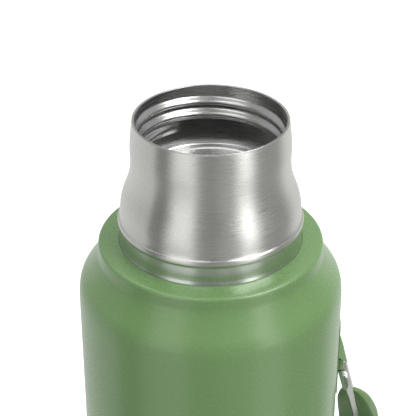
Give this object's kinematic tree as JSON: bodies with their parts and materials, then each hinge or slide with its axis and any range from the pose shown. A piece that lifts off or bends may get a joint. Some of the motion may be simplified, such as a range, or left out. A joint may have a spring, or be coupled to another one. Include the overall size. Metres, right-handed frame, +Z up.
{
  "type": "vacuum flask",
  "caption": "Tall double-walled steel vacuum flask with an internally threaded mouth and a C-shaped side handle that folds round the body on two upright pins.",
  "frame": {"origin": "centre of the flat base, on the floor plane", "axes": "+Z up along the body and mouth; the handle hinge is near +X, the handle is folded back towards +Y"},
  "size_m": [0.1388, 0.1116, 0.32],
  "materials": {
    "green_coat": "fine-textured powder coat",
    "neck_steel": "brushed round the neck",
    "liner_steel": "satin, electropolished",
    "vessel_steel": "plain pressed sheet",
    "foil": "bright copper-coloured foil",
    "getter_metal": "dull sintered",
    "support_plastic": "plain moulded",
    "seal_braze": "dull braze",
    "frame_steel": "satin along the bar",
    "pin_steel": "blackened",
    "bush_plastic": "black moulded",
    "grip_plastic": "fine moulded texture",
    "screw_steel": "bright",
    "nut_brass": "plain"
  },
  "bodies": {
    "flask": {"outer_tube": "green_coat", "shoulder_ring": "green_coat", "neck_sleeve": "neck_steel", "mouth_thread": "liner_steel", "liner_neck": "liner_steel", "liner_tube": "liner_steel", "liner_bottom": "liner_steel", "radiation_foil": "foil", "getter": "getter_metal", "getter_clip": "vessel_steel", "liner_support": "support_plastic", "outer_bottom": "vessel_steel", "vacuum_seal": "seal_braze", "base_cap": "green_coat", "upper_bracket": "green_coat", "lower_bracket": "green_coat", "pivot_pins": "pin_steel"},
    "handle": {"pivot_bushes": "bush_plastic", "upper_leaf": "green_coat", "lower_leaf": "green_coat", "handle_frame": "frame_steel", "grip_front": "grip_plastic", "grip_back": "grip_plastic", "grip_screws": "screw_steel", "grip_nuts": "nut_brass"}
  },
  "joints": [
    {"name": "handle_fold", "type": "hinge", "parent": "flask", "child": "handle", "pos_m": [0.05753, 0.00809, 0.121], "axis": [0, 0, 1], "range_deg": [-127, 0]}
  ]
}
